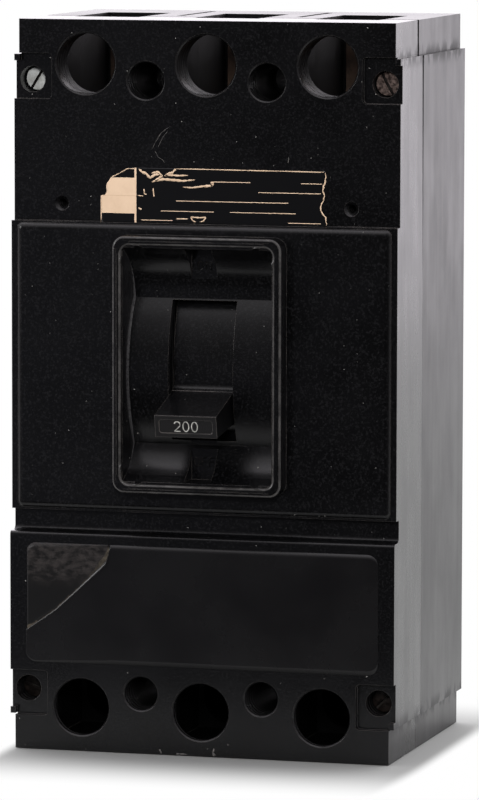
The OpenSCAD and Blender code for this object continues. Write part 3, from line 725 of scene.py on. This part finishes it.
for corner, (finish, slot_name) in SCREW_FINISH.items():
    low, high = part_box("cover_screw_" + corner)
    angle = radians(SLOT_TURN[corner]) - radians(90.0)
    middle = ((low.x + high.x) / 2, (low.z + high.z) / 2)
    grids = []
    for grid, closed in screw_grids(high.y - low.y, HEAD_H[corner] * MM):
        x = middle[0] + grid[..., 0] * cos(angle) - grid[..., 1] * sin(angle)
        z = middle[1] + grid[..., 0] * sin(angle) + grid[..., 1] * cos(angle)
        grids.append((np.stack([x, low.y + grid[..., 2], z], axis=-1), closed))
    screw = piece("screw_" + corner, grids, finish, weld=True)
    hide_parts("cover_screw_" + corner)
    # Faces inside the slot are given the near-black slot finish.
    screw.data.materials.append(slot_near_black)
    for face in screw.data.polygons:
        across = (face.center.x - middle[0]) * cos(angle) + (face.center.z - middle[1]) * sin(angle)
        if abs(across) < 0.51 * SLOT_W and face.center.y < low.y + SLOT_D + 0.01 * MM:
            face.material_index = 1

# %% [markdown]
# ## Rounds of the rim
# The rim's edges are rounded all the way round. Its corners and its right side have their rounds in the
# solid, and the other straight edges only have the square step that the round sits in. So a quarter-round
# bar is laid into each of these steps: its section is an arc and the corner of the step, and it runs
# along the edge.

# %% Rim rounds
LAP = 0.45
LAP_T = 0.02


def quarter_bar(edge, outward, low, high, upright):
    """A closed bar along a straight edge. Across the edge, the section runs from the foot of the arc to
    its crown, laps over the flat, and goes back through the corner of the step. On the arc, offset is
    radius times sine and depth is radius times one minus cosine. The first and last rows shrink to the
    corner, which closes the ends."""
    angle = np.radians(np.linspace(90.0, 0.0, 9))
    inward = np.concatenate([ROUND_R * (1.0 - np.sin(angle)), [ROUND_R + LAP, ROUND_R + LAP, ROUND_R]])
    depth = np.concatenate([ROUND_R * (1.0 - np.cos(angle)) - LAP_T, [-LAP_T, 0.2, ROUND_R]])
    offset = edge - outward * inward
    run = np.array([low, low, high, high])[:, None]
    shrink = np.array([0.0, 1.0, 1.0, 0.0])[:, None]
    offset = offset[-1] + (offset - offset[-1]) * shrink
    depth = depth[-1] + (depth - depth[-1]) * shrink
    proud = RIM_PROUD / MM - depth
    run = np.broadcast_to(run, offset.shape)
    grid = on_front(offset, proud, WELL_Z + run) if upright else on_front(run, proud, WELL_Z + offset)
    return grid[:, ::-1] if (outward > 0) == upright else grid


outer_x, outer_z = RIM_W / 2, RIM_H / 2
inner_x, inner_z = outer_x - RIM_T, outer_z - RIM_T
bars = [
    quarter_bar(-outer_x, -1.0, RIM_R - outer_z, outer_z - RIM_R, True),
    quarter_bar(-inner_x, 1.0, WELL_R - inner_z, inner_z - WELL_R, True),
]
for side in (-1.0, 1.0):
    bars.append(quarter_bar(side * outer_z, side, RIM_R - outer_x, outer_x - RIM_R, False))
    bars.append(quarter_bar(side * inner_z, -side, WELL_R - inner_x, inner_x - WELL_R, False))
piece("rim_rounds", [(bar, True) for bar in bars], cover_black, weld=True)

# %% [markdown]
# ## Fillets of the well
# Where the floor of the well meets its side walls, a small fillet shows as one thin pale line: its finish is
# painted many times paler than the cover, a painted highlight. The floor's height along the well is the
# highest of three curves: the arch about the handle's pivot, the flat floor, and the sweeps that rise at
# both ends. The fillet is a quarter of a circle carried along that height.

# %% Well fillets
CHEEK_R = 58.0
FLOOR_PROUD = 0.4
SWEEP_R = 16.0
SWEEP_Z = 25.41
WELL_DRAFT = 1.4
FILLET_R = 0.7
FILLET_HALF = SWEEP_Z + 9.0
FILLET_FADE = 12.0


def well_floor(z):
    """Height of the well's floor at z: the arch's circle, the flat, or the sweep's circle, whichever is
    highest."""
    arch = np.sqrt(CHEEK_R**2 - (z - pivot[2] / MM) ** 2) - (pivot[1] - FACE_Y) / MM
    past = np.clip(np.abs(z - WELL_Z) - SWEEP_Z, 0.0, 0.8 * SWEEP_R)
    sweep = FLOOR_PROUD + SWEEP_R - np.sqrt(SWEEP_R**2 - past**2)
    return np.maximum(arch, sweep)


along = WELL_Z + np.linspace(-FILLET_HALF, FILLET_HALF, 90)[:, None]
bend = np.radians(np.linspace(0.0, 90.0, 6))[None, :]
floor_height = well_floor(along)
wall = RIM_W / 2 - RIM_T - WELL_DRAFT * (RIM_PROUD / MM - floor_height) / (RIM_PROUD / MM - FLOOR_PROUD)
fade = np.clip((FILLET_HALF - np.abs(along - WELL_Z)) / FILLET_FADE, 0.05, 1.0)
fillet_x = wall - FILLET_R * fade * (1.0 - np.sin(bend))
fillet_h = floor_height + FILLET_R * fade * (1.0 - np.cos(bend))
fillet_z = np.broadcast_to(along, fillet_x.shape)
fillets = [
    (on_front(fillet_x, fillet_h, fillet_z), False),
    (on_front(-fillet_x, fillet_h, fillet_z)[:, ::-1], False),
]
piece("well_fillets", fillets, fillet_highlight, thick=0.1 * MM)

# %% [markdown]
# ## Paper and print
# The upper label is beige paper printed black, with one panel left unprinted. Its print follows its place
# on the case, so the material picks ink or paper from the object coordinates. Torn places show the bare
# paper.


# %% Paper finishes
def inside_range(tree, value, low, high):
    """1 where a value lies between two limits, otherwise 0."""
    over = maths(tree, "GREATER_THAN", value, low)
    return times(tree, over, maths(tree, "LESS_THAN", value, high))


PAPER = (0.69, 0.51, 0.36, 1.0)
PAPER_STAIN = (0.56, 0.4, 0.27, 1.0)
INK = (0.0026, 0.0026, 0.003, 1.0)
RULE_X = -25.5
PANEL_LOW = 189.7
PANEL_HIGH = 202.2
CREASE_Z = 195.9
RULE_T = 0.22
BLANK_RULES = [(2.3, 16.1, 201.2), (34.4, 42.0, 201.2), (19.0, 41.6, 197.8), (-10.7, 29.8, 194.3)]
BLANK_RULES += [(-16.2, 3.1, 190.7), (8.9, 32.5, 190.7), (-23.4, -12.0, 187.4), (29.8, 41.6, 187.4)]

bare_paper, tree, shader, place = new_material("bare_paper")
shader.inputs["Roughness"].default_value = 0.85
fibre = use(tree, mottle, Vector=place, Scale=700.0).outputs["Value"]
tree.links.new(tint(tree, fibre, PAPER, PAPER_STAIN), shader.inputs["Base Color"])

printed_paper, tree, shader, place = new_material("printed_paper")
spot = axes(tree, place)
x, z = spot["X"], spot["Z"]
panel = maths(tree, "LESS_THAN", x, RULE_X * MM)
panel = times(tree, panel, inside_range(tree, z, PANEL_LOW * MM, PANEL_HIGH * MM))
rule = inside_range(tree, x, (RULE_X - 0.35) * MM, (RULE_X + 0.35) * MM)
unprinted = maths(tree, "MAXIMUM", panel, rule)
for left, right, level in BLANK_RULES:
    line = inside_range(tree, x, left * MM, right * MM)
    line = times(tree, line, inside_range(tree, z, level * MM, (level + RULE_T) * MM))
    unprinted = maths(tree, "MAXIMUM", unprinted, line)
stains = use(tree, mottle, Vector=place, Scale=140.0).outputs["Value"]
crease = inside_range(tree, z, (CREASE_Z - 0.12) * MM, (CREASE_Z + 0.12) * MM)
beige = tint(tree, maths(tree, "MAXIMUM", times(tree, stains, 0.5), crease), PAPER, PAPER_STAIN)
tree.links.new(tint(tree, unprinted, INK, beige), shader.inputs["Base Color"])
tree.links.new(remap(tree, unprinted, 0.0, 1.0, 0.28, 0.85), shader.inputs["Roughness"])
print("paper finishes ready")

# %% [markdown]
# ## The upper label
# The label's left and right ends are torn. Both ends are written as a few points of x against height, and
# the sheet is a grid whose rows run from the left end to the right end at each height.

# %% Upper label
LABEL_LOW = 186.5
LABEL_HIGH = 205.7
LEFT_Z = [186.5, 195.8, 195.9, 197.7, 199.1, 200.5, 202.3, 203.6, 205.4, 205.7]
LEFT_X = [-38.2, -38.2, -36.6, -35.9, -36.3, -35.6, -34.4, -31.6, -28.6, -27.9]
RIGHT_Z = [186.5, 187.5, 189.9, 191.6, 193.7, 195.3, 197.2, 199.3, 202.0, 205.0, 205.7]
RIGHT_X = [43.6, 43.7, 43.4, 41.8, 41.6, 42.5, 43.0, 42.3, 43.2, 43.5, 42.8]
PAPER_T = 0.12


def torn(values, size):
    """A small ragged offset: three sine waves of unlike lengths added together."""
    waves = np.sin(3.1 * values) + 0.7 * np.sin(7.3 * values + 1.0) + 0.5 * np.sin(17.9 * values + 2.0)
    return size * waves


heights = np.linspace(LABEL_LOW, LABEL_HIGH, 64)
left = np.interp(heights, LEFT_Z, LEFT_X) + torn(heights, 0.06)
right = np.interp(heights, RIGHT_Z, RIGHT_X) + torn(heights + 40.0, 0.1)
share = np.linspace(0.0, 1.0, 90)[None, :]
x = left[:, None] + (right - left)[:, None] * share
z = np.broadcast_to(heights[:, None], x.shape)
piece("upper_label", [(on_front(x, PAPER_T, z), False)], printed_paper, thick=PAPER_T * MM)

# %% [markdown]
# ## Torn strips
# A tear, a scratch or a stroke of paint is a ribbon: a path with a width at each of its points. The
# ribbon's two edges lie half a width to either side of the path, square to its direction, and it tapers
# to its ends.


# %% Ribbons
def ribbon(path, width, spot, steps=32, taper=0.15, ragged=0.2):
    """Grid of two edges along a path of (across, up) points. The path is resampled evenly, its direction
    is the difference of its points, and the edges lie half the tapered width to the right and to the left
    of it."""
    path = np.asarray(path, dtype=float)
    run = np.concatenate([[0.0], np.cumsum(np.hypot(*np.diff(path, axis=0).T))])
    even = np.linspace(0.0, run[-1], steps)
    line = np.column_stack([np.interp(even, run, path[:, i]) for i in (0, 1)])
    way = np.gradient(line, axis=0)
    way = way / np.linalg.norm(way, axis=1, keepdims=True)
    side = np.column_stack([-way[:, 1], way[:, 0]])
    ends = np.minimum(np.linspace(0.0, 1.0, steps), np.linspace(1.0, 0.0, steps))
    known = np.linspace(0.0, 1.0, np.size(width))
    wide = np.interp(np.linspace(0.0, 1.0, steps), known, np.atleast_1d(width))
    if taper:
        wide = wide * np.clip(0.3 + ends / taper, 0.0, 1.0) * (1.0 + torn(even, ragged))
    edge = [line - side * wide[:, None] / 2, line + side * wide[:, None] / 2]
    return spot(np.stack([e[:, 0] for e in edge]), np.stack([e[:, 1] for e in edge]))


def on_label(x, z):
    """Places a ribbon on the upper label."""
    return on_front(x, PAPER_T + 0.05, z)


TEARS = [
    ([(-24.2, 205.3), (-23.0, 204.2), (-21.6, 203.8), (-20.2, 202.2), (-18.4, 203.4), (-16.6, 203.6)], 0.8),
    ([(-19.6, 203.9), (-17.4, 204.4), (-15.8, 203.1), (-17.8, 201.6), (-19.4, 200.8)], 0.7),
    (
        [(-18.2, 201.2), (-15.4, 201.9), (-12.2, 201.7), (-8.0, 201.4), (-3.9, 201.9)],
        [0.9, 0.8, 0.9, 0.6, 0.5],
    ),
    ([(-15.0, 203.2), (-12.6, 203.4), (-10.0, 203.2), (-6.4, 203.4)], [0.5, 0.7, 0.6, 0.4]),
    (
        [(-14.6, 203.0), (-13.4, 204.0), (-12.0, 204.2), (-11.4, 205.0), (-10.6, 205.7)],
        [0.8, 0.6, 0.8, 0.7, 0.5],
    ),
    ([(-8.2, 199.3), (-5.0, 199.1), (-1.5, 199.6), (2.6, 200.0)], [0.3, 0.5, 0.6, 0.9]),
    ([(2.0, 199.6), (2.9, 200.9), (1.8, 201.0)], 0.6),
    ([(-22.4, 198.4), (-22.2, 196.6), (-21.4, 196.4)], 0.35),
    ([(-19.0, 198.7), (-18.9, 197.2), (-18.7, 195.6)], 0.4),
    ([(-24.6, 196.0), (-22.6, 195.9)], 0.3),
    ([(-24.4, 191.7), (-23.2, 191.2)], 0.5),
    ([(-10.6, 188.1), (-8.4, 188.2), (-6.4, 188.2)], 0.4),
    ([(-5.4, 188.9), (-2.4, 188.7), (0.2, 188.9), (-0.8, 187.6), (-2.0, 187.2)], 0.45),
    ([(-5.4, 188.9), (-4.6, 187.6), (-3.6, 187.2)], 0.4),
    (
        [(-10.6, 205.6), (2.0, 205.6), (16.0, 205.5), (30.0, 205.5), (42.6, 205.4)],
        [0.4, 0.25, 0.35, 0.25, 0.5],
    ),
    ([(-38.0, 186.8), (-38.0, 190.5), (-37.9, 195.6)], 0.3),
    ([(-38.0, 195.7), (-36.4, 195.9)], 0.3),
    ([(-34.2, 202.3), (-31.4, 203.6), (-28.5, 205.3), (-25.6, 205.4)], [0.4, 0.25, 0.3, 0.3]),
]
edge_z = np.linspace(187.0, 205.3, 40)
edge_x = np.interp(edge_z, RIGHT_Z, RIGHT_X) + torn(edge_z + 40.0, 0.1) - 0.15
strips = [(ribbon(path, width, on_label), False) for path, width in TEARS]
strips.append((ribbon(np.column_stack([edge_x, edge_z]), [0.35, 0.45, 0.3, 0.5, 0.3], on_label, 80), False))
piece("upper_label_tears", strips, bare_paper, thick=0.05 * MM)

# %% [markdown]
# ## The lower plate
# A satin black plate covers the load end. It is bare here, with round corners, and its upper left corner
# has been torn away. Each column of the grid runs from the plate's lower edge to its upper edge, which
# follows the tear on the left.

# %% Plate finishes
GLUE_LOW = 56.0 * MM
GLUE_HIGH = 66.0 * MM
BACKING_PALE = (0.055, 0.046, 0.034, 1.0)
BACKING_DARK = (0.009, 0.0078, 0.0065, 1.0)

satin_plate, tree, shader, place = new_material("satin_plate")
clouds = use(tree, mottle, Vector=place, Scale=30.0).outputs["Value"]
dots = use(tree, specks, Vector=place, Scale=420.0, Share=0.07).outputs["Mask"]
satin = tint(tree, clouds, (0.0032, 0.003, 0.0033, 1.0), (0.0052, 0.005, 0.0053, 1.0))
tree.links.new(tint(tree, dots, satin, (0.34, 0.33, 0.31, 1.0)), shader.inputs["Base Color"])
tree.links.new(remap(tree, clouds, 0.0, 1.0, 0.24, 0.28), shader.inputs["Roughness"])

old_glue, tree, shader, place = new_material("old_glue")
blotches = use(tree, mottle, Vector=scaled(tree, place, (1.0, 1.0, 1.9)), Scale=330.0).outputs["Value"]
glue_height = axes(tree, place)["Z"]
blotches = times(tree, blotches, remap(tree, glue_height, GLUE_LOW, GLUE_HIGH))
dots = use(tree, specks, Vector=place, Scale=420.0, Share=0.08).outputs["Mask"]
glue = tint(tree, blotches, (0.0022, 0.0021, 0.0022, 1.0), (0.021, 0.0175, 0.0165, 1.0))
tree.links.new(tint(tree, dots, glue, (0.3, 0.28, 0.25, 1.0)), shader.inputs["Base Color"])
tree.links.new(remap(tree, blotches, 0.0, 1.0, 0.4, 0.62), shader.inputs["Roughness"])

brown_paper, tree, shader, place = new_material("brown_paper")
shader.inputs["Roughness"].default_value = 0.9
fibre = use(tree, mottle, Vector=place, Scale=420.0).outputs["Value"]
tree.links.new(tint(tree, fibre, BACKING_PALE, BACKING_DARK), shader.inputs["Base Color"])
print("plate finishes ready")

# %% Lower plate
PLATE_HALF = 64.0
PLATE_LOW = 31.0
PLATE_HIGH = 73.4
PLATE_R = 3.8
PLATE_T = 0.12
TEAR_X = [-64.0, -57.5, -53.0, -45.9, -38.1, -34.6, -33.6, -33.0]
TEAR_Z = [42.3, 46.8, 50.1, 56.7, 64.2, 67.6, 70.2, 73.4]
LOAD_FACE = LOAD_PROUD / MM


def corner_drop(x, centre, radius):
    """How far a round corner pulls the edge in at x: a circle's sagitta beyond its centre."""
    past = np.clip(np.abs(x) - centre, 0.0, radius)
    return radius - np.sqrt(radius**2 - past**2)


def tear_line(x):
    """Height of the tear above each x, a little ragged."""
    return np.interp(x, TEAR_X, TEAR_Z) + torn(x, 0.08)


turns = PLATE_HALF - PLATE_R + PLATE_R * np.sin(np.linspace(0.0, radians(88.0), 8))
columns = np.concatenate([-turns[::-1], np.linspace(-58.0, -33.0, 60), np.linspace(-32.8, 58.0, 60), turns])
columns = np.unique(columns)
drop = corner_drop(columns, PLATE_HALF - PLATE_R, PLATE_R)
upper = np.where(columns < TEAR_X[-1], np.minimum(tear_line(columns), PLATE_HIGH), PLATE_HIGH - drop)
lower = PLATE_LOW + drop
share = np.linspace(0.0, 1.0, 24)[:, None]
z = lower + (upper - lower) * share
x = np.broadcast_to(columns, z.shape)
near = np.where(columns < TEAR_X[-1], 1.0, 0.0) * np.clip(1.0 - (upper - z) / 1.5, 0.0, 1.0) ** 2
plate = on_front(x, LOAD_FACE + PLATE_T + 0.1 * near, z)
piece("lower_plate", [(plate, False)], satin_plate, thick=PLATE_T * MM)

# %% [markdown]
# ## What the tear left behind
# Above the tear the glue of the missing corner still covers the case as a thin blotchy film, and the torn
# edge shows a brown line of backing paper, wider where a flap of it stayed on.

# %% Glue and backing paper
FLAP_X = [-63.4, -61.0, -59.0, -41.0, -37.0, -35.0, -33.3]
FLAP_WIDTH = [0.8, 0.3, 0.0, 0.0, 1.2, 1.8, 0.9]

glue_x = np.linspace(-63.6, -33.6, 60)
under = np.minimum(tear_line(glue_x), PLATE_HIGH - 0.6) - 0.3
drop = corner_drop(glue_x, PLATE_HALF - PLATE_R, PLATE_R)
share = np.linspace(0.0, 1.0, 16)[:, None]
z = under + (PLATE_HIGH - drop - under) * share
film = on_front(np.broadcast_to(glue_x, z.shape), LOAD_FACE + 0.06, z)
piece("old_glue_film", [(film, False)], old_glue, thick=0.04 * MM)

edge_x = np.linspace(-63.4, -33.3, 120)
edge_z = np.minimum(tear_line(edge_x), PLATE_HIGH - 0.5)
spread = 0.25 + 0.1 * torn(edge_x * 0.7, 1.0)
spread = spread + np.interp(edge_x, FLAP_X, FLAP_WIDTH)
share = np.linspace(-0.2, 1.0, 6)[:, None]
z = np.minimum(edge_z + np.maximum(spread, 0.15) * share, PLATE_HIGH - 0.2)
x = np.broadcast_to(edge_x, z.shape) - 0.25 * spread * share
backing = on_front(x, LOAD_FACE + 0.2, z)
piece("plate_backing_paper", [(backing, False)], brown_paper, thick=0.12 * MM)

# %% [markdown]
# ## Scratches and rubbed places
# A few scratches cross the upper face, and the lower front edge is chipped. They are thin ribbons of a
# dusty grey, so they stay where they are from every side.

# %% Scratches
SCRATCH_T = 0.03
SCRATCH_DARK = (0.03, 0.029, 0.03, 1.0)
SCRATCH_PALE = (0.14, 0.13, 0.12, 1.0)

dusty_grey, tree, shader, place = new_material("dusty_grey")
shader.inputs["Roughness"].default_value = 0.8
dust = use(tree, mottle, Vector=place, Scale=500.0).outputs["Value"]
tree.links.new(tint(tree, dust, SCRATCH_DARK, SCRATCH_PALE), shader.inputs["Base Color"])
SCRATCHES = [
    (0.0, [(-13.3, 220.1), (-16.2, 218.0), (-18.0, 215.2), (-19.5, 212.3)], 0.14),
    (0.0, [(-13.7, 218.7), (-15.5, 216.6), (-17.3, 213.1)], 0.12),
    (0.0, [(-18.4, 211.7), (-17.3, 209.6), (-15.5, 208.6), (-14.8, 207.5)], 0.14),
    (0.0, [(30.0, 210.5), (29.7, 208.4)], 0.22),
    (LOAD_FACE, [(-14.9, 1.8), (-14.2, 0.3)], 0.5),
    (LOAD_FACE, [(-8.9, 0.4), (-6.0, 0.5), (-4.9, 0.3)], 0.5),
    (LOAD_FACE, [(5.0, 3.0), (4.6, 1.4), (5.2, 0.3)], [0.3, 0.7, 1.0]),
    (LOAD_FACE, [(9.8, 4.6), (10.4, 4.4)], 0.4),
    (LOAD_FACE, [(23.0, 57.0), (27.0, 55.6)], 0.25),
]


def on_face_at(proud):
    """Gives a placing function for a face that stands that far proud."""
    return lambda x, z: on_front(x, proud + SCRATCH_T, z)


marks = [(ribbon(path, width, on_face_at(proud)), False) for proud, path, width in SCRATCHES]
piece("scratches", marks, dusty_grey, thick=SCRATCH_T * MM)

# %% [markdown]
# ## Marks of the switch
# The handle's tip carries a plain number in pale paint, and the notches at both ends of the well say
# which way is on. The strokes are ribbons again: straight ones, and arcs worked out from an angle.


# %% Strokes
def arc(centre, radii, start, end, steps=20):
    """Points of an ellipse between two angles in degrees."""
    angle = np.radians(np.linspace(start, end, steps))
    return np.column_stack([centre[0] + radii[0] * np.cos(angle), centre[1] + radii[1] * np.sin(angle)])


def shifted(path, across, up=0.0):
    """Moves a path sideways and up."""
    return np.asarray(path, dtype=float) + (across, up)


def digit_two(w, h):
    """An open bowl, a diagonal and a foot."""
    bowl = arc((0, h / 2 - w / 2), (w / 2, w / 2), 165, -35)
    return np.vstack([bowl, [(-w / 2, -h / 2), (w / 2, -h / 2)]])


def letter_o(w, h):
    """A closed ellipse that runs a little past its start."""
    return arc((0, 0), (w / 2, h / 2), 90, 460, 32)


def letter_f(w, h):
    """A stem with an arm at the top, and a second arm at the middle."""
    return [[(-w / 2, -h / 2), (-w / 2, h / 2), (w / 2, h / 2)], [(-w / 2, 0.05 * h), (0.35 * w, 0.05 * h)]]


PAINT = (0.5, 0.49, 0.46, 1.0)
PAINT_WORN = (0.2, 0.195, 0.18, 1.0)
DIGIT_W = 2.1
DIGIT_H = 3.5
DIGIT_STEP = 3.1
REST_TURN = radians(12.3)
TIP_REACH = 77.45
forward = np.array([0.0, -cos(REST_TURN), -sin(REST_TURN)])
upward = np.array([0.0, -sin(REST_TURN), cos(REST_TURN)])


def on_tip(x, up):
    """Places a stroke on the sunk panel of the handle's tip."""
    middle = pivot + (TIP_REACH + 0.08) * MM * forward
    return middle + x[..., None] * MM * np.array([1.0, 0.0, 0.0]) + up[..., None] * MM * upward


pale_paint, tree, shader, place = new_material("pale_paint")
shader.inputs["Roughness"].default_value = 0.7
wear = use(tree, mottle, Vector=place, Scale=900.0).outputs["Value"]
tree.links.new(tint(tree, wear, PAINT, PAINT_WORN), shader.inputs["Base Color"])
digits = [shifted(digit_two(DIGIT_W, DIGIT_H), -DIGIT_STEP)]
digits += [shifted(letter_o(DIGIT_W, DIGIT_H), across) for across in (0.0, DIGIT_STEP)]
strokes = [(ribbon(path, 0.36, on_tip, 48, 0), False) for path in digits]
piece("tip_number", strokes, pale_paint, body="handle", thick=0.08 * MM)

# %% On and off
NOTCH_PROUD = 1.0
WORD_OFFSET = 34.4
LETTER_W = 1.9
LETTER_H = 3.0


def on_notch(x, z):
    """Places a raised stroke on the notch floors."""
    return on_front(x, NOTCH_PROUD + 0.12, z)


letter_n = [(-LETTER_W / 2, -LETTER_H / 2), (-LETTER_W / 2, LETTER_H / 2), (LETTER_W / 2, -LETTER_H / 2)]
letter_n = letter_n + [(LETTER_W / 2, LETTER_H / 2)]
on_word = [shifted(letter_o(LETTER_W, LETTER_H), -1.5), shifted(letter_n, 1.5)]
off_word = [shifted(letter_o(LETTER_W, LETTER_H), -2.7)]
for step in (0.0, 2.7):
    off_word += [shifted(path, step) for path in letter_f(LETTER_W, LETTER_H)]
raised = [shifted(path, 0.0, WELL_Z + WORD_OFFSET) for path in on_word]
raised += [shifted(path, 0.0, WELL_Z - WORD_OFFSET) for path in off_word]
words = [(ribbon(path, 0.5, on_notch, 40, 0), False) for path in raised]
piece("on_off_marks", words, cover_black, thick=0.12 * MM)
